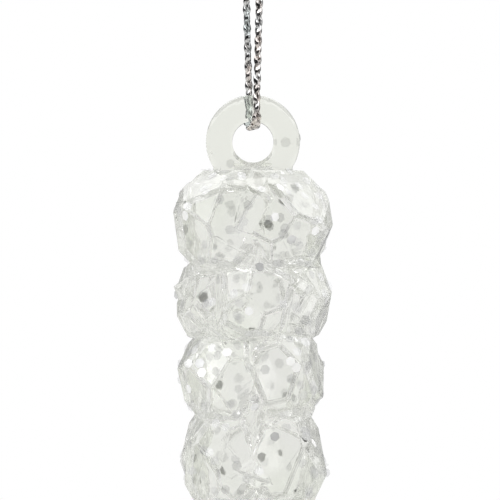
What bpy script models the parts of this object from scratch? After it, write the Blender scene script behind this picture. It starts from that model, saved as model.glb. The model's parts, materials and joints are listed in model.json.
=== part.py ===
"""Clear hollow icicle ornament with glued hexagonal glitter, hung on a loop of braided metallic cord.

The origin is the inside top of the loop, where a hook bears. The icicle hangs below it, along -Z.
The eyelet's hole runs along Y, so the icicle's front faces -Y. The icicle is two moulded shells, front
and back, welded on the plane of the eyelet. All lengths are in metres.
"""

import math
import random

import bmesh
import bpy
import numpy as np
from mathutils import Matrix, Vector
from mathutils.bvhtree import BVHTree

MM = 0.001
GAP = 0.3 * MM  # air between touching pieces

# Cord
CORD_D = 0.8 * MM
CORD_R = CORD_D / 2
STRAND_SPREAD_TOP = 1.60 * MM  # half the distance between the strands just under the crown
STRAND_SPREAD_LOW = 0.46 * MM  # and where they meet the eyelet's top
LOOP_DROP = 48 * MM  # from the origin down to the top of the eyelet
FLEX_Z = -4 * MM  # the cord bends fore and aft here
FLEX_GAP = 1 * MM  # room for the two cord ends to fold past each other
TWIST_Z = -33 * MM  # the cord twists below this height
CORD_POINT_STEP = 1.3 * CORD_D
BIGHT_DEPTH = 1.5 * MM  # how deep the cord's U is where it goes through the eyelet
BIGHT_CLEAR = 0.8 * MM  # from the top of the hole down to the cord's centreline

# Knot and cut tails
KNOT_R = 1.25 * MM
KNOT_HALF_HEIGHT = 1.2 * MM
KNOT_Z = 2.55 * MM

# Eyelet
EYELET_R = 4.9 * MM
HOLE_R = 2.15 * MM
EYELET_T = 2.8 * MM
EYELET_EDGE = 0.75 * MM
HOLE_EDGE = 0.35 * MM
EYELET_FOOT_HALF_W = 3.9 * MM  # half the width of the flanks at their foot, inside the shoulder
EYELET_FOOT_DROP = 5.5 * MM  # how far the flanks run below the eyelet's centre
EYELET_TURN_BACK = 32  # degrees that the ring's edge carries on below its middle
EYELET_SIDES = 48  # round the ring's edge, and round the hole
GUSSET_HALF_W = 1.95 * MM
GUSSET_TOP = 2.0 * MM  # below the eyelet's centre
GUSSET_FLARE = 2.2  # how much thicker the web is at its foot
EYELET_Z = -LOOP_DROP - EYELET_R

# Icicle: tiers of ice chunks, from the shoulder to the tip
WALL = 1.0 * MM
CROWN_WALL = 1.9 * MM  # under the eyelet
SPINE_SHARE = 0.74  # the hollow along the middle, with its wall, against a tier's half width
SPINE_SIDES = 9
SMALLEST_HOLLOW = 0.4 * MM
SHOULDER_Z = EYELET_Z - 3.0 * MM
BODY_LENGTH = 140 * MM
TIP_LENGTH = 11 * MM
FIRST_TIERS = (  # height, half width, turn of the four chunks in degrees
    (9.7 * MM, 7.45 * MM, 45),
    (7.5 * MM, 7.45 * MM, 0),
    (8.1 * MM, 6.85 * MM, 45),
    (9.5 * MM, 6.6 * MM, 48),
)
LOWER_TIERS = 12
LOWER_TIER_SHRINK = 0.955  # each lower tier's height against the one above
LAST_HALF_WIDTH = 2.3 * MM
TAPER_POWER = 1.55
THREE_CHUNKS_BELOW = 5.4 * MM  # narrower tiers have three chunks
ONE_CHUNK_BELOW = 3.3 * MM  # and the narrowest ones are a single chunk
CHUNK_SHARE = 0.58  # a chunk's own half width against its tier's
CHUNK_OVERLAP = 1.20  # a chunk's half height against half its tier's height
CHUNK_FACETS = 22
CHUNK_CUT = 0.93  # how near its outline's own size a facet is cut
CHUNK_BOX_POWER = 1.35  # 2 gives an ellipsoid, and nearer 1 a squarer chunk
FACET_JITTER = 0.16
CORE_SHARE = 0.80  # the central chunk's half width against the tier's
FILLER_SHARE = 0.36  # a filler between the chunks at a waist, against the tier's half width
FILLER_OUT = 0.47
FILLER_STRETCH = 1.15
FILLER_FACETS = 12
FILLER_LIFT = 0.3 * MM
CORE_STRETCH = 1.15
CORE_FACETS = 14
LONE_STRETCH = 1.05  # a tier of a single chunk
DIAGONAL_ABOVE = 30  # degrees of turn above which a tier's chunks stand on its diagonals
CHUNK_LIFT = 0.04  # how far a chunk may sit up or down, against its tier's height
TIP_SHARE = 0.93  # the tip's half width against the last tier's
FIRST_TIER_DROP = 0.9 * MM
ROOF_FACETS = 7
ROOF_SLOPE = 42  # degrees from flat
ROOF_HALF_W = 4.8 * MM
BROW_OUT = 3.3 * MM
BROW_DROP = 4.0 * MM
BROW_HALF_W = 3.7 * MM
BROW_HALF_H = 4.1 * MM
TIP_SIDES = 7
# mm up, share of the tip's width
TIP_RINGS = ((1.2, 0.75), (0.0, 1.0), (-3.2, 0.86), (-7.0, 0.45), (-10.2, 0.14))

# Glitter
FLAKE_ACROSS = 1.05 * MM  # hexagon, corner to corner
FLAKE_T = 0.12 * MM
FLAKE_COUNT = 48
FLAKE_SPACING = 2.4 * MM
FLAKE_CLEAR = 0.15 * MM

SEED = 24


# ---- tools -------------------------------------------------------------------------------------


def clear_scene():
    for ob in list(bpy.data.objects):
        bpy.data.objects.remove(ob, do_unlink=True)


def material(name, colour, roughness, metallic=0.0, transmission=0.0):
    mat = bpy.data.materials.new(name)
    mat.use_nodes = True
    shader = mat.node_tree.nodes["Principled BSDF"]
    shader.inputs["Base Color"].default_value = (*colour, 1)
    shader.inputs["Roughness"].default_value = roughness
    shader.inputs["Metallic"].default_value = metallic
    shader.inputs["Transmission Weight"].default_value = transmission
    return mat


def mesh_object(name, bm, mat=None):
    bmesh.ops.recalc_face_normals(bm, faces=bm.faces)
    mesh = bpy.data.meshes.new(name)
    bm.to_mesh(mesh)
    bm.free()
    ob = bpy.data.objects.new(name, mesh)
    bpy.context.scene.collection.objects.link(ob)
    if mat:
        mesh.materials.append(mat)
    return ob


def apply_modifier(ob, modifier):
    with bpy.context.temp_override(object=ob, active_object=ob, selected_objects=[ob]):
        bpy.ops.object.modifier_apply(modifier=modifier.name)


def combine(ob, tool, operation):
    if tool is None:
        return ob
    cut = ob.modifiers.new(operation.lower(), "BOOLEAN")
    cut.operation = operation
    cut.solver = "EXACT"
    cut.object = tool
    apply_modifier(ob, cut)
    bpy.data.objects.remove(tool, do_unlink=True)
    return ob


def smooth_below(ob, degrees):
    ob.data.shade_smooth()
    ob.data.set_sharp_from_angle(angle=math.radians(degrees))


def smooth_route(points, step):
    """Points every step along a Catmull-Rom curve through the route's points."""
    pts = [Vector(p) for p in points]
    pts = [2 * pts[0] - pts[1], *pts, 2 * pts[-1] - pts[-2]]
    fine = []
    for a, b, c, d in zip(pts, pts[1:], pts[2:], pts[3:]):
        for k in range(24):
            t = k / 24
            fine.append(
                0.5 * (2 * b + (c - a) * t + (2 * a - 5 * b + 4 * c - d) * t * t
                       + (3 * b - a - 3 * c + d) * t ** 3)
            )
    fine.append(pts[-2])
    along = np.concatenate([[0], np.cumsum([(q - p).length for p, q in zip(fine, fine[1:])])])
    count = max(2, round(along[-1] / step)) + 1
    wanted = np.linspace(0, along[-1], count)
    xyz = np.array([tuple(p) for p in fine])
    return [Vector([np.interp(w, along, xyz[:, k]) for k in range(3)]) for w in wanted]


# ---- icicle body -------------------------------------------------------------------------------


def facet_directions(count, turn, rng):
    """Evenly spread directions, each nudged a little."""
    golden = math.pi * (3 - math.sqrt(5))
    out = []
    for k in range(count):
        z = 1 - 2 * (k + 0.5) / count
        flat = math.sqrt(1 - z * z)
        a = golden * k + turn
        nudge = Vector([rng.uniform(-FACET_JITTER, FACET_JITTER) for _ in range(3)])
        out.append((Vector((flat * math.cos(a), flat * math.sin(a), z)) + nudge).normalized())
    return out


def cut_lump(name, size, centre, planes):
    """A box about the origin, cut by planes given as (normal, distance), then moved to its centre."""
    bm = bmesh.new()
    bmesh.ops.create_cube(bm, size=size)
    for normal, distance in planes:
        cut = bmesh.ops.bisect_plane(
            bm, geom=bm.verts[:] + bm.edges[:] + bm.faces[:], dist=1e-7,
            plane_co=normal * distance, plane_no=normal, clear_outer=True,
        )
        rim = [e for e in cut["geom_cut"] if isinstance(e, bmesh.types.BMEdge)]
        if len(rim) > 2:
            bmesh.ops.edgeloop_fill(bm, edges=rim)
    bmesh.ops.remove_doubles(bm, verts=bm.verts, dist=0.01 * MM)
    bmesh.ops.translate(bm, verts=bm.verts, vec=centre)
    return mesh_object(name, bm)


def chunk(centre, half_w, half_h, turn, rng, inset, count=CHUNK_FACETS):
    """A lump of ice: flat facets follow a rounded, slightly square outline, moved in by the inset."""
    planes = []
    for n in facet_directions(count, turn, rng):
        flat = (math.hypot(n.x, n.y) * half_w) ** CHUNK_BOX_POWER
        reach = (flat + abs(n.z * half_h) ** CHUNK_BOX_POWER) ** (1 / CHUNK_BOX_POWER)
        planes.append((n, reach * CHUNK_CUT - inset))
    if min(distance for n, distance in planes) < SMALLEST_HOLLOW:
        return None
    return cut_lump("chunk", 4 * max(half_w, half_h), centre, planes)


def roof(top, rng, inset):
    """The shoulder's slopes round the eyelet's foot."""
    planes = [(Vector((0, 0, 1)), -inset * CROWN_WALL / WALL)]
    for k in range(ROOF_FACETS):
        a = 2 * math.pi * k / ROOF_FACETS - math.pi / 2
        slope = math.radians(ROOF_SLOPE + rng.uniform(-7, 7))
        n = Vector((math.cos(a) * math.sin(slope), math.sin(a) * math.sin(slope), math.cos(slope)))
        planes.append((n, ROOF_HALF_W * math.sin(slope) - inset))
    return cut_lump("roof", 60 * MM, (0, 0, top), planes)


def tier_plan():
    """(top, height, half width, turn) of each tier, from the shoulder down."""
    tiers = []
    z = SHOULDER_Z
    for height, half_w, turn in FIRST_TIERS:
        tiers.append((z, height, half_w, turn))
        z -= height
    left = BODY_LENGTH - TIP_LENGTH - (SHOULDER_Z - z)
    shares = [LOWER_TIER_SHRINK ** k * (1 + 0.05 * (-1) ** k) for k in range(LOWER_TIERS)]
    start_w = FIRST_TIERS[-1][1]
    done = 0.0
    for k, share in enumerate(shares):
        height = left * share / sum(shares)
        t = (done + height / 2) / left
        half_w = LAST_HALF_WIDTH + (start_w - LAST_HALF_WIDTH) * (1 - t ** TAPER_POWER)
        tiers.append((z - done, height, half_w, 45 * (k % 2) + 7 * k))
        done += height
    return tiers


def tier_solid(top, height, half_w, turn, rng, inset):
    mid = top - height / 2
    half_h = CHUNK_OVERLAP * height / 2
    if half_w < ONE_CHUNK_BELOW:
        return chunk((0, 0, mid), half_w, LONE_STRETCH * half_h, rng.uniform(0, 6), rng, inset, CORE_FACETS)
    core_w, core_h = CORE_SHARE * half_w, CORE_STRETCH * half_h
    core = chunk((0, 0, mid), core_w, core_h, rng.uniform(0, 6), rng, inset, CORE_FACETS)
    several = 3 if half_w < THREE_CHUNKS_BELOW else 4
    own = CHUNK_SHARE * half_w
    out = half_w - own
    spread = math.sqrt(2) if turn % 90 > DIAGONAL_ABOVE and several == 4 else 1
    for k in range(several):
        a = math.radians(turn) + k * 2 * math.pi / several
        lift = rng.uniform(-CHUNK_LIFT, CHUNK_LIFT) * height
        at = (out * spread * math.cos(a), out * spread * math.sin(a), mid + lift)
        combine(core, chunk(at, own, half_h, a, rng, inset), "UNION")
    for k in range(several):
        a = math.radians(turn) + (k + 0.5) * 2 * math.pi / several
        reach = FILLER_OUT * half_w
        at = (reach * math.cos(a), reach * math.sin(a), top - height + rng.uniform(-FILLER_LIFT, FILLER_LIFT))
        filler_w = FILLER_SHARE * half_w
        filler = chunk(at, filler_w, FILLER_STRETCH * filler_w, a, rng, inset, FILLER_FACETS)
        combine(core, filler, "UNION")
    return core


def first_tier_solid(top, height, half_w, turn, rng, inset):
    """The top tier also has chunks high up between the four, and slopes in to the eyelet's foot."""
    tier = tier_solid(top - FIRST_TIER_DROP, height - FIRST_TIER_DROP, half_w, turn, rng, inset)
    for k in range(4):
        a = math.radians(turn + 45 + 90 * k)
        at = (BROW_OUT * math.cos(a), BROW_OUT * math.sin(a), top - BROW_DROP)
        combine(tier, chunk(at, BROW_HALF_W, BROW_HALF_H, a, rng, inset, CORE_FACETS), "UNION")
    return combine(tier, roof(top, rng, inset), "INTERSECT")


def all_tiers(tiers, rng, inset):
    body = first_tier_solid(*tiers[0], rng, inset)
    for tier in tiers[1:]:
        combine(body, tier_solid(*tier, rng, inset), "UNION")
    return body


def spine_solid(tiers):
    """The hollow's straight middle, which joins the hollows of all tiers."""
    bm = bmesh.new()
    loops = []
    for top, height, half_w, turn in tiers:
        r = SPINE_SHARE * half_w - WALL
        ring = []
        for k in range(SPINE_SIDES):
            a = 2 * math.pi * k / SPINE_SIDES
            ring.append(bm.verts.new((r * math.cos(a), r * math.sin(a), top - height / 2)))
        loops.append(ring)
    for upper, lower in zip(loops, loops[1:]):
        for k in range(SPINE_SIDES):
            m = (k + 1) % SPINE_SIDES
            bm.faces.new((upper[k], lower[k], lower[m], upper[m]))
    bm.faces.new(loops[0])
    bm.faces.new(loops[-1])
    return mesh_object("spine", bm)


def tip_solid(top, half_w, rng):
    """The last drop: a faceted spike."""
    bm = bmesh.new()
    loops = []
    for up, share in TIP_RINGS:
        shift = rng.uniform(0, 0.5)
        ring = []
        for k in range(TIP_SIDES):
            a = 2 * math.pi * k / TIP_SIDES + shift
            r = half_w * share * rng.uniform(0.93, 1.05)
            ring.append(bm.verts.new((r * math.cos(a), r * math.sin(a), top + up * MM)))
        loops.append(ring)
    for upper, lower in zip(loops, loops[1:]):
        for k in range(TIP_SIDES):
            m = (k + 1) % TIP_SIDES
            bm.faces.new((upper[k], lower[k], lower[m]))
            bm.faces.new((upper[k], lower[m], upper[m]))
    point = bm.verts.new((0, 0, top - TIP_LENGTH))
    for k in range(TIP_SIDES):
        bm.faces.new((loops[-1][k], point, loops[-1][(k + 1) % TIP_SIDES]))
    bm.faces.new(loops[0])
    return mesh_object("tip", bm)


def eyelet_outline():
    """(x, z) of the ring's edge from its centre: most of a circle and two short flanks."""
    start = -math.radians(EYELET_TURN_BACK)
    sweep = math.pi - 2 * start
    turns = [start + sweep * k / EYELET_SIDES for k in range(EYELET_SIDES + 1)]
    outline = [(EYELET_R * math.cos(a), EYELET_R * math.sin(a)) for a in turns]
    return outline + [
        (-EYELET_FOOT_HALF_W, -EYELET_FOOT_DROP),
        (EYELET_FOOT_HALF_W, -EYELET_FOOT_DROP),
    ]


def prism_along_y(outline, half_t):
    """An outline in (x, z) about the eyelet's centre, given its thickness along Y."""
    bm = bmesh.new()
    face = bm.faces.new([bm.verts.new((x, -half_t, EYELET_Z + z)) for x, z in outline])
    grown = bmesh.ops.extrude_face_region(bm, geom=[face])
    moved = [v for v in grown["geom"] if isinstance(v, bmesh.types.BMVert)]
    bmesh.ops.translate(bm, verts=moved, vec=(0, 2 * half_t, 0))
    return bm


def eyelet_solid():
    """A flat ring whose flanks run down into the shoulder."""
    bm = prism_along_y(eyelet_outline(), EYELET_T / 2)
    foot_z = EYELET_Z - EYELET_FOOT_DROP + 0.01 * MM
    rim = [
        e for e in bm.edges
        if e.verts[0].co.y == e.verts[1].co.y and max(v.co.z for v in e.verts) > foot_z
    ]
    bmesh.ops.bevel(bm, geom=rim, offset=EYELET_EDGE, segments=3, profile=0.5, affect="EDGES")
    ring = combine(mesh_object("eyelet", bm), gusset_solid(), "UNION")
    return combine(ring, hole_cutter(), "DIFFERENCE")


def gusset_solid():
    """The web under the hole gets thicker towards the shoulder, in front and behind."""
    top, low = -GUSSET_TOP, -EYELET_FOOT_DROP
    w = GUSSET_HALF_W
    bm = prism_along_y(((w, top), (-w, top), (-w, low), (w, low)), EYELET_T / 2 - 0.1 * MM)
    for v in bm.verts:
        if v.co.z < EYELET_Z + low + 0.01 * MM:
            v.co.y *= GUSSET_FLARE
    return mesh_object("gusset", bm)


def hole_cutter():
    """The hole, flared a little at both faces."""
    bm = bmesh.new()
    sides = EYELET_SIDES
    half = EYELET_T / 2
    stations = (
        (-half - 1 * MM, HOLE_R + HOLE_EDGE + 1 * MM),
        (-half + HOLE_EDGE, HOLE_R),
        (half - HOLE_EDGE, HOLE_R),
        (half + 1 * MM, HOLE_R + HOLE_EDGE + 1 * MM),
    )
    loops = []
    for y, r in stations:
        ring = []
        for k in range(sides):
            a = 2 * math.pi * k / sides
            ring.append(bm.verts.new((r * math.cos(a), y, EYELET_Z + r * math.sin(a))))
        loops.append(ring)
    for a, b in zip(loops, loops[1:]):
        for k in range(sides):
            m = (k + 1) % sides
            bm.faces.new((a[k], a[m], b[m], b[k]))
    bm.faces.new(loops[0])
    bm.faces.new(loops[-1])
    return mesh_object("hole", bm)


def outer_solid(tiers):
    """The icicle's outside with its eyelet, filled."""
    rng = random.Random(SEED)
    body = all_tiers(tiers, rng, 0)
    top, height, half_w = tiers[-1][:3]
    combine(body, tip_solid(top - height, half_w * TIP_SHARE, rng), "UNION")
    return combine(body, eyelet_solid(), "UNION")


def hollow_solid(tiers):
    """The space inside: every chunk's facets moved in by the wall."""
    space = all_tiers(tiers, random.Random(SEED), WALL)
    return combine(space, spine_solid(tiers), "UNION")


def half_space(side):
    """A block that covers everything in front of the weld, or behind it."""
    reach = 30 * MM
    bm = bmesh.new()
    bmesh.ops.create_cube(bm, size=1)
    bmesh.ops.scale(bm, verts=bm.verts, vec=(reach, reach, 3 * BODY_LENGTH))
    bmesh.ops.translate(bm, verts=bm.verts, vec=(0, side * (reach + GAP) / 2, 0))
    return mesh_object("half_space", bm)


def shell_half(whole, side, name, mat):
    """One of the two mouldings, cut at the weld plane."""
    half = bpy.data.objects.new(name, whole.data.copy())
    bpy.context.scene.collection.objects.link(half)
    combine(half, half_space(side), "INTERSECT")
    half.data.name = name
    half.data.materials.clear()
    half.data.materials.append(mat)
    smooth_below(half, 14)
    return half


# ---- cord --------------------------------------------------------------------------------------


def strand_x(z):
    """Half the distance between the two strands at a height."""
    t = (z - FLEX_Z) / (-LOOP_DROP - FLEX_Z)
    return STRAND_SPREAD_TOP + (STRAND_SPREAD_LOW - STRAND_SPREAD_TOP) * t


def strand_y(z):
    """How far a strand stands off the middle plane: nothing above, clear of the eyelet's face below."""
    t = min(max((z - TWIST_Z) / (-LOOP_DROP - TWIST_Z), 0), 1)
    return (EYELET_T / 2 + CORD_R + GAP) * t ** 1.15


def side_point(side, z):
    return (side * strand_x(z), -side * strand_y(z), z)


def crown_route(side):
    """From under the knot, round the hook's place, to the flex."""
    steps = ((0.46, 0.95), (0.62, 0.1), (0.95, -0.9), (1.28, -1.9), (1.50, -2.8))
    low = FLEX_Z + FLEX_GAP / 2
    return [(side * x * MM, 0, z * MM) for x, z in steps] + [(side * strand_x(low), 0, low)]


def strand_route(side):
    top = FLEX_Z - FLEX_GAP / 2
    low = TWIST_Z + GAP / 2
    return [side_point(side, top + (low - top) * k / 6) for k in range(7)]


def bight_route():
    """Down the left strand behind the eyelet, through its hole and up in front."""
    top = TWIST_Z - GAP / 2
    heights = (top, -38 * MM, -42 * MM, -45 * MM, -LOOP_DROP)
    left = [side_point(-1, z) for z in heights]
    right = [side_point(1, z) for z in reversed(heights)]
    face = EYELET_T / 2 + CORD_R + GAP
    spring_z = EYELET_Z + HOLE_R - BIGHT_CLEAR + BIGHT_DEPTH
    turn = []
    for k in range(9):
        a = math.pi * k / 8
        x = -STRAND_SPREAD_LOW * math.cos(a)
        turn.append((x, face * math.cos(a), spring_z - BIGHT_DEPTH * math.sin(a)))
    return left + turn + right


def cord_tube(name, route, mat):
    points = smooth_route(route, CORD_POINT_STEP)
    curve = bpy.data.curves.new(name, "CURVE")
    curve.dimensions = "3D"
    curve.bevel_depth = CORD_R
    curve.bevel_resolution = 2
    curve.use_fill_caps = True
    spline = curve.splines.new("POLY")
    spline.points.add(len(points) - 1)
    for point, at in zip(spline.points, points):
        point.co = (*at, 1)
    curve.materials.append(mat)
    ob = bpy.data.objects.new(name, curve)
    bpy.context.scene.collection.objects.link(ob)
    return ob


def tail_route(side):
    """A short cut end that leaves the knot's top and droops outwards."""
    steps = ((0.45, 4.05), (0.75, 4.65), (1.35, 5.15), (2.15, 5.35), (2.95, 5.15), (3.55, 4.6))
    return [(side * x * MM, 0, z * MM) for x, z in steps]


def knot_solid(mat):
    """The outer shape of the overhand knot that ties both ends."""
    bm = bmesh.new()
    bmesh.ops.create_uvsphere(bm, u_segments=20, v_segments=12, radius=1)
    squeeze = Matrix.Diagonal((KNOT_R * 1.12, KNOT_R * 0.95, KNOT_HALF_HEIGHT, 1))
    bmesh.ops.transform(bm, matrix=squeeze, verts=bm.verts)
    bmesh.ops.translate(bm, verts=bm.verts, vec=(0, 0, KNOT_Z))
    ob = mesh_object("cord_knot", bm, mat)
    ob.data.shade_smooth()
    return ob


# ---- glitter -----------------------------------------------------------------------------------


def flake_mesh(mat):
    bm = bmesh.new()
    bmesh.ops.create_cone(
        bm, cap_ends=True, segments=6, radius1=FLAKE_ACROSS / 2, radius2=FLAKE_ACROSS / 2, depth=FLAKE_T
    )
    bmesh.ops.recalc_face_normals(bm, faces=bm.faces)
    mesh = bpy.data.meshes.new("glitter_flake")
    bm.to_mesh(mesh)
    bm.free()
    mesh.materials.append(mat)
    return mesh


def flat_spots(mesh, rng):
    """Random places on the facets, with the facet's normal."""
    mesh.calc_loop_triangles()
    triangles = list(mesh.loop_triangles)
    areas = [t.area for t in triangles]
    while True:
        tri = rng.choices(triangles, weights=areas)[0]
        a, b, c = (mesh.vertices[i].co for i in tri.vertices)
        u, v = rng.random(), rng.random()
        if u + v > 1:
            u, v = 1 - u, 1 - v
        yield a + (b - a) * u + (c - a) * v, tri.normal.copy()


def clear_all_round(tree, at, normal, reach):
    """True if nothing of the icicle stands within the flake's own space."""
    for k in range(12):
        a = math.pi * k / 6
        side = normal.orthogonal().normalized()
        side.rotate(Matrix.Rotation(a, 3, normal))
        for lift in (GAP, GAP + FLAKE_T):
            edge = at + side * reach + normal * lift
            near, near_normal, _, distance = tree.find_nearest(edge)
            outside = (edge - near).dot(near_normal) > 0
            if distance < FLAKE_CLEAR or not outside:
                return False
    return True


def glitter(outside, mat):
    """Flakes stuck flat on the facets, spread over the whole icicle and clear of the eyelet."""
    rng = random.Random(SEED + 1)
    tree = BVHTree.FromObject(outside, bpy.context.evaluated_depsgraph_get())
    mesh = flake_mesh(mat)
    placed = []
    for at, normal in flat_spots(outside.data, rng):
        if len(placed) == FLAKE_COUNT:
            break
        if at.z > SHOULDER_Z - 2 * MM:
            continue
        if any((at - other).length < FLAKE_SPACING for other in placed):
            continue
        if not clear_all_round(tree, at, normal, FLAKE_ACROSS / 2 + 0.1 * MM):
            continue
        placed.append(at)
        flake = bpy.data.objects.new(f"glitter_flake_{len(placed):02d}", mesh)
        turn = Matrix.Rotation(rng.uniform(0, math.pi), 4, "Z")
        stand = normal.to_track_quat("Z", "Y").to_matrix().to_4x4()
        lift = normal * (GAP + FLAKE_T / 2)
        flake.matrix_world = Matrix.Translation(at + lift) @ stand @ turn
        bpy.context.scene.collection.objects.link(flake)


# ---- whole ornament ----------------------------------------------------------------------------


def build():
    clear_scene()
    clear_plastic = material("clear_plastic", (0.93, 0.94, 0.92), 0.05, transmission=1.0)
    silver_cord = material("silver_cord", (0.62, 0.62, 0.63), 0.35, metallic=0.9)
    pearl_glitter = material("pearl_glitter", (0.82, 0.82, 0.84), 0.2, metallic=0.6)
    tiers = tier_plan()
    outside = outer_solid(tiers)
    for side, name in ((-1, "left"), (1, "right")):
        cord_tube(f"cord_crown_{name}", crown_route(side), silver_cord)
        cord_tube(f"cord_strand_{name}", strand_route(side), silver_cord)
        cord_tube(f"cord_tail_{name}", tail_route(side), silver_cord)
    cord_tube("cord_bight", bight_route(), silver_cord)
    knot_solid(silver_cord)
    bpy.context.view_layer.update()
    glitter(outside, pearl_glitter)
    combine(outside, hollow_solid(tiers), "DIFFERENCE")
    shell_half(outside, -1, "icicle_front_shell", clear_plastic)
    shell_half(outside, 1, "icicle_back_shell", clear_plastic)
    bpy.data.objects.remove(outside, do_unlink=True)


build()
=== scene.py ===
import json
import math
import random

import bmesh
import bpy
import numpy as np
from mathutils import Matrix, Vector
from mathutils.bvhtree import BVHTree
from mathutils.kdtree import KDTree


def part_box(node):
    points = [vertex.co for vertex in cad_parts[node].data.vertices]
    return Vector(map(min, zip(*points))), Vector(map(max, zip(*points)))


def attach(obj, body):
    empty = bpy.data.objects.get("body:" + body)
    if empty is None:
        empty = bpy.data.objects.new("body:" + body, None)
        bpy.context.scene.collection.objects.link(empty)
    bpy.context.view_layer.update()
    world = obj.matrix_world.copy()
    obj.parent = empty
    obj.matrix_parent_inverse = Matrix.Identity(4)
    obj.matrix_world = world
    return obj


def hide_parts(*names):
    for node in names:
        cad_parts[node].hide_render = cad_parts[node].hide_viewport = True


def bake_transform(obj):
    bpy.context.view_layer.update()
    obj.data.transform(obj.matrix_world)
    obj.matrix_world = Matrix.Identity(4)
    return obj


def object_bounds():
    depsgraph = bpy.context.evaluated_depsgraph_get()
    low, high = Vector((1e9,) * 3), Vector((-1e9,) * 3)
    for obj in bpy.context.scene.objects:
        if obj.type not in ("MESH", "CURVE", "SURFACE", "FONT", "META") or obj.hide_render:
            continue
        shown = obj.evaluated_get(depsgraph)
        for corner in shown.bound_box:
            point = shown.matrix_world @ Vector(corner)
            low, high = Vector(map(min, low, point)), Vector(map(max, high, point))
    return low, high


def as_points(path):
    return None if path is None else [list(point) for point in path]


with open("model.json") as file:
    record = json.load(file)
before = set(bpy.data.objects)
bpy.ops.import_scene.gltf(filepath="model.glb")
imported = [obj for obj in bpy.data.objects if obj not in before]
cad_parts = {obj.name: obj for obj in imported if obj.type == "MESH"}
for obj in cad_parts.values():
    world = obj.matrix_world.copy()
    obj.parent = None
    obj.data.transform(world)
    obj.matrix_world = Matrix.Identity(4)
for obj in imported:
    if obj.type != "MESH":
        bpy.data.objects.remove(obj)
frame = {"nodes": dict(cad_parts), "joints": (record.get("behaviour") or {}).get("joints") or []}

# A clear icicle ornament with glued glitter, hung on a loop of braided silver cord. Metres, +Z up.

CAD_LOW, CAD_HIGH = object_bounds()
MM = 0.001
SHELLS = {"icicle_front_shell": -1, "icicle_back_shell": 1}
EYELET_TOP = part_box("icicle_front_shell")[1].z
JOINTS = {j["name"]: j for j in frame["joints"]}
EYELET_Z = JOINTS["side_swing"]["pos_m"][2]
FLEX_Z = JOINTS["fore_aft_swing"]["pos_m"][2]
TWIST_Z = JOINTS["cord_twist"]["pos_m"][2]
FLAKE_NODES = sorted(n for n in frame["nodes"] if n.startswith("glitter_flake"))

# Camera: a long lens, level, looking at the eyelet and the icicle's upper quarter
FIELD = 52.1 * MM  # what the square picture spans at the ornament
HEADROOM = 9.9 * MM  # from the eyelet's top to the picture's top edge
CAMERA_DISTANCE = 0.45
CAMERA_SIDE = -0.3 * MM
SENSOR = 36

# What light through the plastic meets (the tent) and what reflections meet (the room), by how far a
# direction points backwards: 0 is towards the camera, 1 is behind
TENT = (
    (0.00, (0.72, 0.72, 0.71)), (0.15, (0.83, 0.83, 0.82)), (0.38, (0.72, 0.72, 0.71)),
    (0.60, (0.83, 0.83, 0.815)), (0.80, (0.895, 0.895, 0.88)),
)
ROOM = (
    (0.00, (0.03, 0.03, 0.03)), (0.35, (0.04, 0.04, 0.05)),
    (0.60, (0.08, 0.08, 0.08)), (0.90, (0.26, 0.26, 0.26)),
)
# A bright panel overhead, by how far a direction points up: 0 is straight down, 1 is straight up
OVERHEAD = (
    (0.68, (0.0, 0.0, 0.0)), (0.72, (1.0, 1.0, 1.0)), (0.90, (1.0, 1.0, 1.0)), (0.96, (0.4, 0.4, 0.4)),
)
OVERHEAD_STRENGTH = 1.6
SURROUND = 1.25  # what matt things see, so that the white flakes, painted near white as glints, and the floor are white
LIGHT_MIDDLE = 0.04  # how far below the eyelet's top the lamps aim
FLOOR_HALF = 2.4
FLOOR_DROP = 0.45  # below the icicle's tip, clear of views from underneath

# Cord, as in the CAD
CORD_D = 0.8 * MM
CORD_R = CORD_D / 2
GAP = 0.3 * MM  # between touching solids
STRAND_SPREAD_TOP = 1.60 * MM
STRAND_SPREAD_LOW = 0.40 * MM
EYELET_HALF_T = 1.4 * MM
HOLE_R = 2.15 * MM
CORD_STAND_OFF = 0.12 * MM  # from the eyelet's face to the cord
BIGHT_DEPTH = 1.45 * MM  # height of the turn through the hole
BIGHT_CLEAR = 0.68 * MM  # from the hole's top down to the cord's middle line
BIGHT_STEPS = 8
KNOT_Z = 2.55 * MM
KNOT_STEPS = 59
KNOT_START, KNOT_WAY = 0.2, 0.94  # where on the closed knot's curve a cord starts, and its share of it
KNOT_X, KNOT_Y, KNOT_TALL = 0.30 * MM, 0.42 * MM, 0.31 * MM  # how far the knot's turns reach
KNOT_APART = 0.20 * MM  # between the knot's two cords, front to back
BEND_ABOVE, BEND_BELOW = 3.2 * MM, 4.5 * MM  # the stretch of cord above and below the fore and aft swing's joint
BEND_PAST_EYELET = 1.5 * MM  # where the stretch about the cord's twist joint ends, above the eyelet's top

# Braid: two yarns wind each way and pass over and under each other round a core
BRAID_PITCH = 4.0 * MM
YARN_OUT = 0.206 * MM  # from the cord's middle to a yarn's
YARN_WEAVE = 0.068 * MM
YARN_HALF_W = 0.222 * MM
YARN_HALF_T = 0.114 * MM
YARN_SWELL = 0.28  # a yarn is loose and fat where it lies outside, and pinched where it goes under
YARN_FLUTES = 5  # filaments that show along a yarn
FLUTE_DEPTH = 0.08
FLUTE_TWIST = 2.6 * MM
YARN_SIDES = 15
CORE_R = 0.15 * MM
CORE_SIDES = 8
BRAID_STEP = 0.12 * MM
CURVE_STEPS = 24  # between two of a route's points
CUT_END_SIZE = 0.35  # a yarn's size at a cut end
BIGHT_SPREAD = 0.75  # how much wider the braid is where it lies flat round the eyelet
BIGHT_SPREAD_REACH = 1.1 * MM

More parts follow.
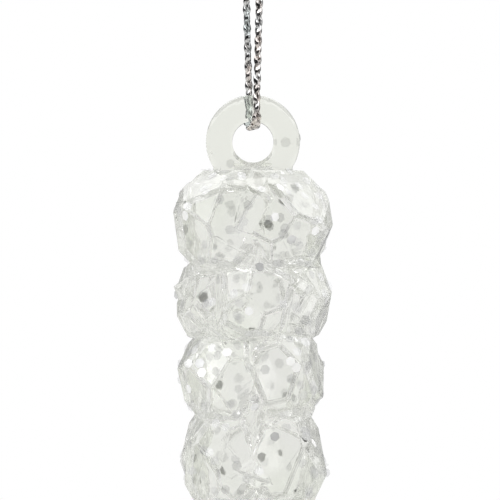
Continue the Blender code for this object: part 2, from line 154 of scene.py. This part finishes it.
# Shells
WELD_GAP = 0.012 * MM  # left between the two mouldings, where the CAD has GAP
EDGE_ROUND = 0.17 * MM
EDGE_ANGLE = math.radians(7)  # a facet's edge is rounded above this
EDGE_SEGMENTS = 3
ROOM_SHARE = 0.42  # how much of the room between two edges their roundings may take
SMALL_FACE = 0.12 * MM * MM  # a face below this size is part of a rounding, and shaded smooth
FOLD_REACH = 0.15 * MM  # an edge this near to a place where the rounding would fold over stays sharp
FOLD_ROUNDS = 5
EYELET_ROUND = 0.3  # the eyelet's edges are rounded by this share of the facets' rounding
EYELET_FOOT_Z = EYELET_Z - 3.5 * MM  # the eyelet's edges are those above this
WELD_SNAP = 0.01 * MM  # a corner this near to the weld is on it
MERGE = 0.05 * MM
SLIVER = 0.03 * MM
FILM_START, FILM_FULL = EYELET_Z - 1.5 * MM, EYELET_Z - 5.0 * MM  # the glue film thickens between these
FILM_SKIN = 0.16  # depth of the glue film's fine unevenness, as a share of the moulding's ripple

# Glitter
FLAKE_ACROSS = 1.08 * MM
FLAKE_T = 0.035 * MM
FLAKE_LIFT = 0.03 * MM
FLAKES_ON_BODY = 1050
FLAKE_APART = 0.75 * MM
FLAKE_STANDING = 0.05  # share that stands on edge
FLAKE_STANDING_LIFT = 0.32 * MM
FLAKE_STANDING_LEAN = (50, 80)  # degrees
FLAKE_LYING_LEAN = (0, 9)
FLAKE_SIZES = (0.9, 1.06)
FLAKE_DIP = 0.01 * MM  # a corner deeper than this is inside the plastic
FLAKES_COMPARED = 80  # a new flake keeps apart from this many of the last ones
EYELET_FLAKES = 0.35  # share of the eyelet's flakes kept, as it carries fewer
EYELET_FLAKES_Z = EYELET_Z - 2.5 * MM
# The white kind is a painted glint: flakes coloured near white all over, standing in for flakes that catch
# a lamp
KIND_WEIGHTS = {"pearl": 80, "silver": 8, "white": 12}
SEED = 7
TINY_FACE = 0.02 * MM * MM  # too small for a flake
BESIDE_WELD = 0.1 * MM
OFF_FACE = 0.05 * MM  # how far off its face a ray starts


# ---- camera, light and floor -------------------------------------------------------------------


def make_camera():
    data = bpy.data.cameras.new("camera")
    cam = bpy.data.objects.new("camera", data)
    bpy.context.scene.collection.objects.link(cam)
    data.sensor_width = SENSOR
    data.lens = SENSOR * CAMERA_DISTANCE / FIELD
    data.clip_start = 0.01
    cam.location = (CAMERA_SIDE, -CAMERA_DISTANCE, EYELET_TOP + HEADROOM - FIELD / 2)
    cam.rotation_euler = (math.radians(90), 0, 0)
    bpy.context.scene.camera = cam


def make_world():
    """White behind, an even white tent for what passes through, and a darker room for reflections."""
    world = bpy.data.worlds.new("studio")
    bpy.context.scene.world = world
    world.use_nodes = True
    nt = world.node_tree
    nt.nodes.clear()
    out = nt.nodes.new("ShaderNodeOutputWorld")
    coord = nt.nodes.new("ShaderNodeTexCoord")
    split = nt.nodes.new("ShaderNodeSeparateXYZ")
    nt.links.new(coord.outputs["Generated"], split.inputs[0])
    path = nt.nodes.new("ShaderNodeLightPath")

    def backdrop(colour, strength):
        node = nt.nodes.new("ShaderNodeBackground")
        node.inputs["Color"].default_value = (*colour, 1)
        node.inputs["Strength"].default_value = strength
        return node

    def shade(source, stops, strength):
        node = ramp(nt, source, stops)
        lit = backdrop((1, 1, 1), strength)
        nt.links.new(node.outputs[0], lit.inputs["Color"])
        return lit

    def either(switch, first, second):
        node = nt.nodes.new("ShaderNodeMixShader")
        nt.links.new(path.outputs[switch], node.inputs[0])
        nt.links.new(first.outputs[0], node.inputs[1])
        nt.links.new(second.outputs[0], node.inputs[2])
        return node

    def over_axis(axis):
        node = nt.nodes.new("ShaderNodeMapRange")
        node.inputs["From Min"].default_value = -1
        node.inputs["From Max"].default_value = 1
        nt.links.new(split.outputs[axis], node.inputs["Value"])
        return node.outputs[0]

    depth = over_axis("Y")
    tent = shade(depth, TENT, 1)
    room = nt.nodes.new("ShaderNodeAddShader")
    nt.links.new(shade(depth, ROOM, 1).outputs[0], room.inputs[0])
    nt.links.new(shade(over_axis("Z"), OVERHEAD, OVERHEAD_STRENGTH).outputs[0], room.inputs[1])
    around = either("Is Glossy Ray", backdrop((1, 1, 1), SURROUND), room)
    lit = either("Is Transmission Ray", around, tent)
    seen = either("Is Camera Ray", lit, backdrop((1, 1, 1), 1))
    nt.links.new(seen.outputs[0], out.inputs[0])


def area_light(name, at, aim, size, power):
    data = bpy.data.lights.new(name, "AREA")
    data.shape = "RECTANGLE"
    data.size, data.size_y = size
    data.energy = power
    lamp = bpy.data.objects.new(name, data)
    bpy.context.scene.collection.objects.link(lamp)
    lamp.location = at
    lamp.rotation_euler = (Vector(aim) - Vector(at)).to_track_quat("-Z", "Y").to_euler()


def make_lights():
    middle = (0, 0, EYELET_TOP - LIGHT_MIDDLE)
    area_light("key", (-0.32, -0.30, 0.30), middle, (0.22, 0.30), 0.27)
    area_light("fill", (0.42, -0.18, 0.02), middle, (0.16, 0.34), 0.25)
    area_light("top", (0.05, 0.12, 0.42), middle, (0.30, 0.20), 0.35)


def make_floor():
    z = CAD_LOW.z - FLOOR_DROP
    bm = bmesh.new()
    corners = [(-1, -1), (1, -1), (1, 1), (-1, 1)]
    bm.faces.new([bm.verts.new((x * FLOOR_HALF, y * FLOOR_HALF, z)) for x, y in corners])
    mesh = bpy.data.meshes.new("floor")
    bm.to_mesh(mesh)
    bm.free()
    floor = bpy.data.objects.new("floor", mesh)
    bpy.context.scene.collection.objects.link(floor)
    mesh.materials.append(plain_material("floor_paper", (0.54, 0.54, 0.53), 0.8))


# ---- materials ---------------------------------------------------------------------------------


def plain_material(name, colour, roughness):
    mat = bpy.data.materials.new(name)
    mat.use_nodes = True
    shader = mat.node_tree.nodes["Principled BSDF"]
    shader.inputs["Base Color"].default_value = (*colour, 1)
    shader.inputs["Roughness"].default_value = roughness
    return mat


def noise(nt, scale, detail=2.0, rough=0.5):
    coord = nt.nodes.new("ShaderNodeTexCoord")
    tex = nt.nodes.new("ShaderNodeTexNoise")
    tex.inputs["Scale"].default_value = scale
    tex.inputs["Detail"].default_value = detail
    tex.inputs["Roughness"].default_value = rough
    nt.links.new(coord.outputs["Object"], tex.inputs["Vector"])
    return tex


def ramp(nt, source, stops):
    node = nt.nodes.new("ShaderNodeValToRGB")
    elements = node.color_ramp.elements
    while len(elements) < len(stops):
        elements.new(0.5)
    for element, (at, colour) in zip(elements, stops):
        element.position = at
        element.color = (*colour, 1)
    nt.links.new(source, node.inputs[0])
    return node


def bump(nt, shader, height, distance, strength):
    node = nt.nodes.new("ShaderNodeBump")
    node.inputs["Distance"].default_value = distance
    node.inputs["Strength"].default_value = strength
    nt.links.new(height, node.inputs["Height"])
    nt.links.new(node.outputs[0], shader.inputs["Normal"])


def clear_plastic():
    """Clear polystyrene, with a slightly hazy film of glue below the eyelet that holds the glitter."""
    mat = bpy.data.materials.new("clear_plastic")
    mat.use_nodes = True
    nt = mat.node_tree
    shader = nt.nodes["Principled BSDF"]
    shader.inputs["Transmission Weight"].default_value = 1.0
    shader.inputs["IOR"].default_value = 1.53
    coord = nt.nodes.new("ShaderNodeTexCoord")
    split = nt.nodes.new("ShaderNodeSeparateXYZ")
    nt.links.new(coord.outputs["Object"], split.inputs[0])
    film = nt.nodes.new("ShaderNodeMapRange")
    film.inputs["From Min"].default_value = FILM_START
    film.inputs["From Max"].default_value = FILM_FULL
    nt.links.new(split.outputs["Z"], film.inputs["Value"])
    tint = noise(nt, 160, 1.5)
    glued = ramp(nt, tint.outputs["Fac"], [
        (0.36, (0.950, 0.960, 0.928)), (0.50, (0.960, 0.964, 0.944)), (0.66, (0.964, 0.964, 0.956)),
    ])
    mix = nt.nodes.new("ShaderNodeMix")
    mix.data_type = "RGBA"
    mix.inputs[6].default_value = (0.982, 0.988, 0.962, 1)
    nt.links.new(film.outputs[0], mix.inputs[0])
    nt.links.new(glued.outputs[0], mix.inputs[7])
    nt.links.new(mix.outputs[2], shader.inputs["Base Color"])
    haze = noise(nt, 420, 3.0)
    rough = nt.nodes.new("ShaderNodeMapRange")
    rough.inputs["From Min"].default_value = 0.35
    rough.inputs["From Max"].default_value = 0.75
    rough.inputs["To Min"].default_value = 0.02
    rough.inputs["To Max"].default_value = 0.12
    nt.links.new(haze.outputs["Fac"], rough.inputs["Value"])
    nt.links.new(rough.outputs[0], shader.inputs["Roughness"])
    ripple = noise(nt, 300, 2.0)
    film_skin = noise(nt, 1300, 2.0)
    skin_depth = nt.nodes.new("ShaderNodeMath")
    skin_depth.operation = "MULTIPLY"
    nt.links.new(film.outputs[0], skin_depth.inputs[0])
    nt.links.new(film_skin.outputs["Fac"], skin_depth.inputs[1])
    height = nt.nodes.new("ShaderNodeMath")
    height.operation = "MULTIPLY_ADD"
    height.inputs[1].default_value = FILM_SKIN
    nt.links.new(skin_depth.outputs[0], height.inputs[0])
    nt.links.new(ripple.outputs["Fac"], height.inputs[2])
    bump(nt, shader, height.outputs[0], 0.10 * MM, 0.45)
    return mat


def silver_yarn():
    """Metallised yarn: bright, with random dark flecks of painted shade in its colour, and a slight warm
    and cool shift.
    """
    mat = bpy.data.materials.new("silver_yarn")
    mat.use_nodes = True
    nt = mat.node_tree
    shader = nt.nodes["Principled BSDF"]
    shader.inputs["Metallic"].default_value = 1.0
    # Painted shade: random dark flecks, down to 0.3 of the yarn's colour, stand in for the shade among the
    # braid's yarns
    tone = noise(nt, 2600, 1.0)
    painted_shade_flecks = ramp(nt, tone.outputs["Fac"], [
        (0.40, (0.30, 0.30, 0.30)), (0.50, (0.80, 0.80, 0.80)), (0.60, (1.0, 1.0, 1.0)),
    ])
    shift = noise(nt, 330, 1.0)
    tint = ramp(nt, shift.outputs["Fac"], [
        (0.38, (0.80, 0.85, 0.85)), (0.50, (0.87, 0.87, 0.87)), (0.62, (0.92, 0.85, 0.81)),
    ])
    mix = nt.nodes.new("ShaderNodeMix")
    mix.data_type = "RGBA"
    mix.blend_type = "MULTIPLY"
    mix.inputs[0].default_value = 1.0
    nt.links.new(painted_shade_flecks.outputs[0], mix.inputs[6])
    nt.links.new(tint.outputs[0], mix.inputs[7])
    nt.links.new(mix.outputs[2], shader.inputs["Base Color"])
    wear = noise(nt, 2600, 2.0)
    rough = nt.nodes.new("ShaderNodeMapRange")
    rough.inputs["To Min"].default_value = 0.05
    rough.inputs["To Max"].default_value = 0.20
    nt.links.new(wear.outputs["Fac"], rough.inputs["Value"])
    nt.links.new(rough.outputs[0], shader.inputs["Roughness"])
    crinkle = noise(nt, 1500, 1.0)
    bump(nt, shader, crinkle.outputs["Fac"], 0.10 * MM, 0.75)
    return mat


def flake_film(name, open_share, colour, metallic, roughness):
    """Thin pearly film: each of a flake's two faces lets part of what is behind it show."""
    mat = bpy.data.materials.new(name)
    mat.use_nodes = True
    nt = mat.node_tree
    shader = nt.nodes["Principled BSDF"]
    out = nt.nodes["Material Output"]
    shader.inputs["Metallic"].default_value = metallic
    shader.inputs["Roughness"].default_value = roughness
    tone = noise(nt, 900, 1.0)
    low = [c * 0.90 for c in colour]
    high = [min(1, c * 1.06) for c in colour]
    colours = ramp(nt, tone.outputs["Fac"], [(0.35, low), (0.65, high)])
    nt.links.new(colours.outputs[0], shader.inputs["Base Color"])
    clear = nt.nodes.new("ShaderNodeBsdfTransparent")
    mix = nt.nodes.new("ShaderNodeMixShader")
    mix.inputs[0].default_value = open_share
    nt.links.new(shader.outputs[0], mix.inputs[1])
    nt.links.new(clear.outputs[0], mix.inputs[2])
    nt.links.new(mix.outputs[0], out.inputs["Surface"])
    return mat


# ---- cord --------------------------------------------------------------------------------------


def strand_x(z):
    t = (z - FLEX_Z) / (EYELET_TOP - FLEX_Z)
    return STRAND_SPREAD_TOP + (STRAND_SPREAD_LOW - STRAND_SPREAD_TOP) * t


def strand_y(z):
    t = min(max((z - TWIST_Z) / (EYELET_TOP - TWIST_Z), 0), 1)
    return (EYELET_HALF_T + CORD_R + CORD_STAND_OFF) * t ** 1.15


def side_point(side, z):
    return (side * strand_x(z), -side * strand_y(z), z)


def upper_route(side):
    """From under the knot, round the hook's place and down to where the cord twists."""
    steps = ((0.40, 1.75), (0.48, 0.95), (0.62, 0.1), (0.95, -0.9), (1.28, -1.9), (1.50, -2.8))
    crown = [(side * x * MM, 0, z * MM) for x, z in steps]
    heights = [-4.0 * MM, -9 * MM, -15 * MM, -21 * MM, -27 * MM, TWIST_Z]
    return crown + [side_point(side, z) for z in heights]


def lower_route():
    """Down the left strand behind the eyelet, through its hole and up in front."""
    heights = (TWIST_Z, -38 * MM, -42 * MM, -45 * MM, EYELET_TOP)
    left = [side_point(-1, z) for z in heights]
    right = [side_point(1, z) for z in reversed(heights)]
    face = EYELET_HALF_T + CORD_R + CORD_STAND_OFF
    spring_z = EYELET_Z + HOLE_R - BIGHT_CLEAR + BIGHT_DEPTH
    turn = []
    for k in range(BIGHT_STEPS + 1):
        a = math.pi * k / BIGHT_STEPS
        x = -STRAND_SPREAD_LOW * math.cos(a)
        turn.append((x, face * math.cos(a), spring_z - BIGHT_DEPTH * math.sin(a)))
    return left + turn + right


def smooth_route(points, step):
    """Points every step along a Catmull-Rom curve through the route's points."""
    pts = [Vector(p) for p in points]
    pts = [2 * pts[0] - pts[1], *pts, 2 * pts[-1] - pts[-2]]
    fine = []
    for a, b, c, d in zip(pts, pts[1:], pts[2:], pts[3:]):
        for k in range(CURVE_STEPS):
            t = k / CURVE_STEPS
            fine.append(
                0.5 * (2 * b + (c - a) * t + (2 * a - 5 * b + 4 * c - d) * t * t
                       + (3 * b - a - 3 * c + d) * t ** 3)
            )
    fine.append(pts[-2])
    xyz = np.array([tuple(p) for p in fine])
    along = np.concatenate([[0], np.cumsum(np.linalg.norm(np.diff(xyz, axis=0), axis=1))])
    count = max(2, round(along[-1] / step)) + 1
    wanted = np.linspace(0, along[-1], count)
    return np.stack([np.interp(wanted, along, xyz[:, k]) for k in range(3)], axis=1)


def frames_along(line, first=(0, 1, 0)):
    """Two directions square to the line at each point, carried along without twist."""
    going = np.gradient(line, axis=0)
    going /= np.linalg.norm(going, axis=1)[:, None]
    u = np.array(first, float)
    sides = []
    for t in going:
        u = u - t * (u @ t)
        u /= np.linalg.norm(u)
        sides.append((u.copy(), np.cross(t, u)))
    return sides


def skin(bm, rings):
    """Faces between rings of points, and a cap at each end."""
    loops = [[bm.verts.new(p) for p in ring] for ring in rings]
    for a, b in zip(loops, loops[1:]):
        for m in range(len(a)):
            n = (m + 1) % len(a)
            bm.faces.new((a[m], a[n], b[n], b[m]))
    bm.faces.new(list(reversed(loops[0])))
    bm.faces.new(loops[-1])


def yarn_rings(line, sides, start, widths, yarn, taper_end):
    """One fluted, flattened yarn of the braid. start is how far along the whole cord the line begins."""
    step = np.linalg.norm(np.diff(line, axis=0), axis=1).mean()
    way = 1 if yarn % 2 == 0 else -1
    rings = []
    for n, (p, (u, v), wide) in enumerate(zip(line, sides, widths)):
        s = start + n * step
        turn = 2 * math.pi * s / BRAID_PITCH
        a = way * turn + math.pi * (yarn // 2)
        r = YARN_OUT + way * YARN_WEAVE * math.cos(2 * turn)
        left = len(line) - 1 - n
        size = CUT_END_SIZE + (1 - CUT_END_SIZE) * left / taper_end if left < taper_end else 1
        size *= 1 + way * YARN_SWELL * math.cos(2 * turn)
        ring = []
        for m in range(YARN_SIDES):
            b = 2 * math.pi * m / YARN_SIDES
            filament = YARN_FLUTES * (b + 2 * math.pi * s / FLUTE_TWIST)
            flute = 1 - FLUTE_DEPTH * (0.5 - 0.5 * math.cos(filament))
            out = r + YARN_HALF_T * math.cos(b) * flute * size
            bend = a + YARN_HALF_W * math.sin(b) * flute * size / YARN_OUT
            ring.append(p + out * (math.cos(bend) * u / math.sqrt(wide) + math.sin(bend) * v * wide))
        rings.append(ring)
    return rings


def core_rings(line, sides, widths):
    turns = [2 * math.pi * m / CORE_SIDES for m in range(CORE_SIDES)]
    return [
        [p + CORE_R * (math.cos(a) * u / math.sqrt(wide) + math.sin(a) * v * wide) for a in turns]
        for p, (u, v), wide in zip(line, sides, widths)
    ]


def add_braid(bm, line, start=0.0, widths=None, taper_end=0):
    sides = frames_along(line)
    widths = np.ones(len(line)) if widths is None else widths
    for yarn in range(4):
        skin(bm, yarn_rings(line, sides, start, widths, yarn, taper_end))
    skin(bm, core_rings(line, sides, widths))


def new_object(name, bm, mat, smooth=True):
    mesh = bpy.data.meshes.new(name)
    bm.to_mesh(mesh)
    bm.free()
    ob = bpy.data.objects.new(name, mesh)
    bpy.context.scene.collection.objects.link(ob)
    mesh.materials.append(mat)
    if smooth:
        mesh.shade_smooth()
    return ob


def braid(name, line, mat, start=0.0, widths=None, taper_end=0):
    bm = bmesh.new()
    add_braid(bm, line, start, widths, taper_end)
    return new_object(name, bm, mat)


def length_of(line):
    return float(np.linalg.norm(np.diff(line, axis=0), axis=1).sum())


def thin(line, every=4):
    """Fewer of the line's points, with both ends kept."""
    return [*line[:-1:every], line[-1]]


def knot_line(side):
    """Half of the overhand knot: one cord's way round."""
    out = []
    for k in range(KNOT_STEPS + 1):
        t = 2 * math.pi * (k / KNOT_STEPS) * KNOT_WAY + KNOT_START
        x = math.sin(t) + 2 * math.sin(2 * t)
        z = math.cos(t) - 2 * math.cos(2 * t)
        y = -math.sin(3 * t)
        out.append((side * x * KNOT_X, y * KNOT_Y + side * KNOT_APART, KNOT_Z + z * KNOT_TALL))
    return out


def tail_route(side):
    steps = ((0.30, 3.3), (0.45, 4.05), (0.75, 4.65), (1.35, 5.15), (2.15, 5.35), (2.95, 5.15), (3.55, 4.6))
    return [(side * x * MM, 0, z * MM) for x, z in steps]


def flattened(line):
    """How much wider the braid is at each point: flat where it turns round the eyelet."""
    low = line[:, 2].min()
    return 1 + BIGHT_SPREAD * np.exp(-((line[:, 2] - low) / BIGHT_SPREAD_REACH) ** 2)


def make_cord(mat):
    upper = {side: smooth_route(upper_route(side), BRAID_STEP) for side in (-1, 1)}
    lower = smooth_route(lower_route(), BRAID_STEP)
    left_len, low_len = length_of(upper[-1]), length_of(lower)
    left = braid("cord_braid_left", upper[-1], mat)
    low = braid("cord_braid_eyelet", lower, mat, start=left_len, widths=flattened(lower))
    right = braid("cord_braid_right", upper[1][::-1].copy(), mat, start=left_len + low_len)

    bm = bmesh.new()
    for side in (-1, 1):
        add_braid(bm, smooth_route(knot_line(side), BRAID_STEP))
    knot = new_object("cord_overhand_knot", bm, mat)
    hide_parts("cord_knot")
    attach(knot, "loop_crown")

    tails = []
    for side, word in ((-1, "left"), (1, "right")):
        line = smooth_route(tail_route(side), BRAID_STEP)
        tail = braid(f"cord_cut_tail_{word}", line, mat, taper_end=3)
        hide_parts(f"cord_tail_{word}")
        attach(tail, "loop_crown")
        tails.append(tail)

    top, bottom = Vector((0, 0, FLEX_Z + BEND_ABOVE)), Vector((0, 0, FLEX_Z - BEND_BELOW))
    for piece, side, word, own in ((left, -1, "left", tails[0]), (right, 1, "right", tails[1])):
        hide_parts(f"cord_crown_{word}", f"cord_strand_{word}")
        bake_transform(piece)
        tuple(top)
        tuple(bottom)
        line = upper[side][::-1]
        side_point(side, TWIST_Z)
        length_of(line)
        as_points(thin(line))
    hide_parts("cord_bight")
    twist_top, twist_end = Vector((0, 0, TWIST_Z)), Vector((0, 0, EYELET_TOP + BEND_PAST_EYELET))
    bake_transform(low)
    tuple(twist_top)
    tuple(twist_end)
    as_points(thin(lower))


# ---- icicle ------------------------------------------------------------------------------------


def corner_room(bm):
    """For each edge, how wide a rounding fits between its neighbours."""
    room = {e: 1.0 for e in bm.edges}
    for face in bm.faces:
        for loop in face.loops:
            e, f = loop.edge, loop.link_loop_prev.edge
            fits = ROOM_SHARE * min(e.calc_length(), f.calc_length()) * math.tan(loop.calc_angle() / 2)
            room[e] = min(room[e], fits)
            room[f] = min(room[f], fits)
    return room


def folded_spots(mesh):
    """Where a surface passes through itself."""
    bm = bmesh.new()
    bm.from_mesh(mesh)
    bmesh.ops.triangulate(bm, faces=bm.faces)
    bm.faces.ensure_lookup_table()
    tree = BVHTree.FromBMesh(bm)
    spots = []
    for a, b in tree.overlap(tree):
        small, large = sorted((bm.faces[a], bm.faces[b]), key=lambda face: face.calc_area())
        if a < b and not set(small.verts) & set(large.verts):
            spots.append(small.calc_center_median())
    bm.free()
    return spots


def keep_sharp(mesh, spots):
    """No rounding on the edges beside the spots."""
    near = KDTree(len(spots))
    for k, spot in enumerate(spots):
        near.insert(spot, k)
    near.balance()
    weights = mesh.attributes["bevel_weight_edge"].data
    for e in mesh.edges:
        a, b = (mesh.vertices[k].co for k in e.vertices)
        steps = max(1, math.ceil((b - a).length / FOLD_REACH))
        if any(near.find(a.lerp(b, k / steps))[2] < FOLD_REACH for k in range(steps + 1)):
            weights[e.index].value = 0


def make_shell(node, side, mat):
    """One moulding: the CAD half up to the weld, with its facets' edges rounded by the mould."""
    bm = bmesh.new()
    bm.from_mesh(frame["nodes"][node].data)
    weld_y = side * GAP / 2
    for v in bm.verts:
        if abs(v.co.y - weld_y) < WELD_SNAP:
            v.co.y = side * WELD_GAP / 2
    bmesh.ops.remove_doubles(bm, verts=bm.verts, dist=MERGE)
    bmesh.ops.dissolve_degenerate(bm, edges=bm.edges, dist=SLIVER)
    weights = bm.edges.layers.float.new("bevel_weight_edge")
    room = corner_room(bm)
    for e in bm.edges:
        on_weld = all(abs(v.co.y) < WELD_GAP for v in e.verts)
        if not on_weld and len(e.link_faces) == 2 and e.calc_face_angle() > EDGE_ANGLE:
            share = EYELET_ROUND if min(v.co.z for v in e.verts) > EYELET_FOOT_Z else 1
            e[weights] = share * min(1, room[e] / EDGE_ROUND)
    ob = new_object(node.replace("icicle", "icicle_moulded"), bm, mat, smooth=False)
    round_off = ob.modifiers.new("round_off", "BEVEL")
    round_off.width = EDGE_ROUND
    round_off.segments = EDGE_SEGMENTS
    round_off.limit_method = "WEIGHT"
    round_off.use_clamp_overlap = False
    for attempt in range(FOLD_ROUNDS):
        ob.data.update_tag()
        bpy.context.view_layer.update()
        depsgraph = bpy.context.evaluated_depsgraph_get()
        spots = folded_spots(ob.evaluated_get(depsgraph).data)
        if not spots:
            break
        keep_sharp(ob.data, spots)
    ob.data.update_tag()
    bpy.context.view_layer.update()
    with bpy.context.temp_override(object=ob, active_object=ob, selected_objects=[ob]):
        bpy.ops.object.modifier_apply(modifier="round_off")
    for face in ob.data.polygons:
        face.use_smooth = face.area < SMALL_FACE
    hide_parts(node)
    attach(ob, "icicle")
    return ob


# ---- glitter -----------------------------------------------------------------------------------


def add_flake(bm, at, normal, turn, across):
    """One hexagonal flake of film lying on a spot."""
    stand = normal.to_track_quat("Z", "Y").to_matrix().to_4x4()
    place = Matrix.Translation(at) @ stand @ Matrix.Rotation(turn, 4, "Z")
    bmesh.ops.create_cone(
        bm, cap_ends=True, segments=6, radius1=across / 2, radius2=across / 2,
        depth=FLAKE_T, matrix=place,
    )


def surface_spots(triangles, rng):
    """Random spots with their surface's direction, spread evenly over the triangles' area."""
    areas = [area for corners, normal, area in triangles]
    while True:
        (a, b, c), normal, area = rng.choices(triangles, weights=areas)[0]
        u, v = rng.random(), rng.random()
        if u + v > 1:
            u, v = 1 - u, 1 - v
        yield a + (b - a) * u + (c - a) * v, normal


def corners_inside(tree, at, normal, turn, reach):
    """How many of a flake's corners would lie under the surface."""
    side = normal.orthogonal().normalized()
    inside = 0
    for k in range(6):
        edge = side.copy()
        edge.rotate(Matrix.Rotation(turn + k * math.pi / 3, 3, normal))
        point = at + edge * reach
        near, near_normal, face, distance = tree.find_nearest(point)
        if (point - near).dot(near_normal) < -FLAKE_DIP:
            inside += 1
    return inside


def tilted(normal, degrees, rng):
    side = normal.orthogonal().normalized()
    side.rotate(Matrix.Rotation(rng.uniform(0, 2 * math.pi), 3, normal))
    out = normal.copy()
    out.rotate(Matrix.Rotation(math.radians(degrees), 3, side))
    return out


def outer_faces(shells):
    """The triangles of both shells that nothing covers, and a tree of both shells."""
    depsgraph = bpy.context.evaluated_depsgraph_get()
    bm = bmesh.new()
    for ob in shells:
        bm.from_mesh(ob.data)
    bmesh.ops.triangulate(bm, faces=bm.faces)
    tree = BVHTree.FromBMesh(bm)
    outside = []
    for face in bm.faces:
        if face.calc_area() < TINY_FACE:
            continue
        start = face.calc_center_median() + face.normal * OFF_FACE
        if abs(start.y) > BESIDE_WELD and tree.ray_cast(start, face.normal)[0] is None:
            outside.append(([v.co.copy() for v in face.verts], face.normal.copy(), face.calc_area()))
    bm.free()
    return outside, tree


def make_glitter(shells):
    rng = random.Random(SEED)
    kinds = {
        "pearl": flake_film("pearl_film", 0.83, (0.74, 0.74, 0.76), 0.9, 0.25),
        "silver": flake_film("silver_film", 0.60, (0.82, 0.82, 0.84), 0.85, 0.32),
        # Painted glint: near-white flakes that stand in for flakes catching a lamp's reflection
        "white": flake_film("painted_glint_film", 0.08, (1.0, 1.0, 0.98), 0.05, 0.35),
    }
    outside, tree = outer_faces(shells)
    placed = []
    sets = {name: bmesh.new() for name in kinds}
    cad = bmesh.new()

    for node in FLAKE_NODES:
        low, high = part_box(node)
        near, normal, face, distance = tree.find_nearest((low + high) / 2)
        add_flake(cad, near + normal * (FLAKE_LIFT + FLAKE_T / 2), normal, rng.uniform(0, 3), FLAKE_ACROSS)
        placed.append(near)

    for at, normal in surface_spots(outside, rng):
        if len(placed) >= FLAKES_ON_BODY + len(FLAKE_NODES):
            break
        if at.z > EYELET_FLAKES_Z and rng.random() > EYELET_FLAKES:
            continue
        if any((at - other).length < FLAKE_APART for other in placed[-FLAKES_COMPARED:]):
            continue
        turn = rng.uniform(0, math.pi)
        standing = rng.random() < FLAKE_STANDING
        lean = rng.uniform(*(FLAKE_STANDING_LEAN if standing else FLAKE_LYING_LEAN))
        lie = tilted(normal, lean, rng)
        if beside_hole(at):
            standing, lie = False, normal
        across = FLAKE_ACROSS * rng.uniform(*FLAKE_SIZES)
        lift = FLAKE_STANDING_LIFT if standing else FLAKE_LIFT + FLAKE_T / 2
        spot = at + normal * lift
        if not standing and corners_inside(tree, spot, normal, turn, across / 2) > 1:
            continue
        if under_cord(spot):
            continue
        kind = rng.choices(list(KIND_WEIGHTS), weights=KIND_WEIGHTS.values())[0]
        add_flake(sets[kind], spot, lie, turn, across)
        placed.append(at)

    for name, bm in sets.items():
        piece = new_object(f"glitter_{name}", bm, kinds[name], smooth=False)
        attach(piece, "icicle")
    piece = new_object("glitter_marked_flakes", cad, kinds["pearl"], smooth=False)
    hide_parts(*FLAKE_NODES)
    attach(piece, "icicle")


def beside_hole(at):
    """True where the cord lies at the end of a swing, so that flakes have to lie flat."""
    return at.z > EYELET_Z - 2 * CORD_D


def under_cord(at):
    """True where the cord rubs the eyelet clean: its upper part, and the hole's edge beside it."""
    over_hole = math.hypot(at.x, at.z - EYELET_Z) < HOLE_R + FLAKE_ACROSS / 2
    return at.z > EYELET_Z + CORD_D or (beside_hole(at) and over_hole)


# ---- whole ornament ----------------------------------------------------------------------------

bpy.context.scene.view_settings.view_transform = "Standard"
# A clear wall passes light on by many reflections inside it
bpy.context.scene.cycles.max_bounces = 32
bpy.context.scene.cycles.glossy_bounces = 24
bpy.context.scene.cycles.transmission_bounces = 32
bpy.context.scene.cycles.transparent_max_bounces = 32
make_camera()
make_cord(silver_yarn())
plastic = clear_plastic()
make_glitter([make_shell(node, side, plastic) for node, side in SHELLS.items()])
make_world()
make_lights()
make_floor()
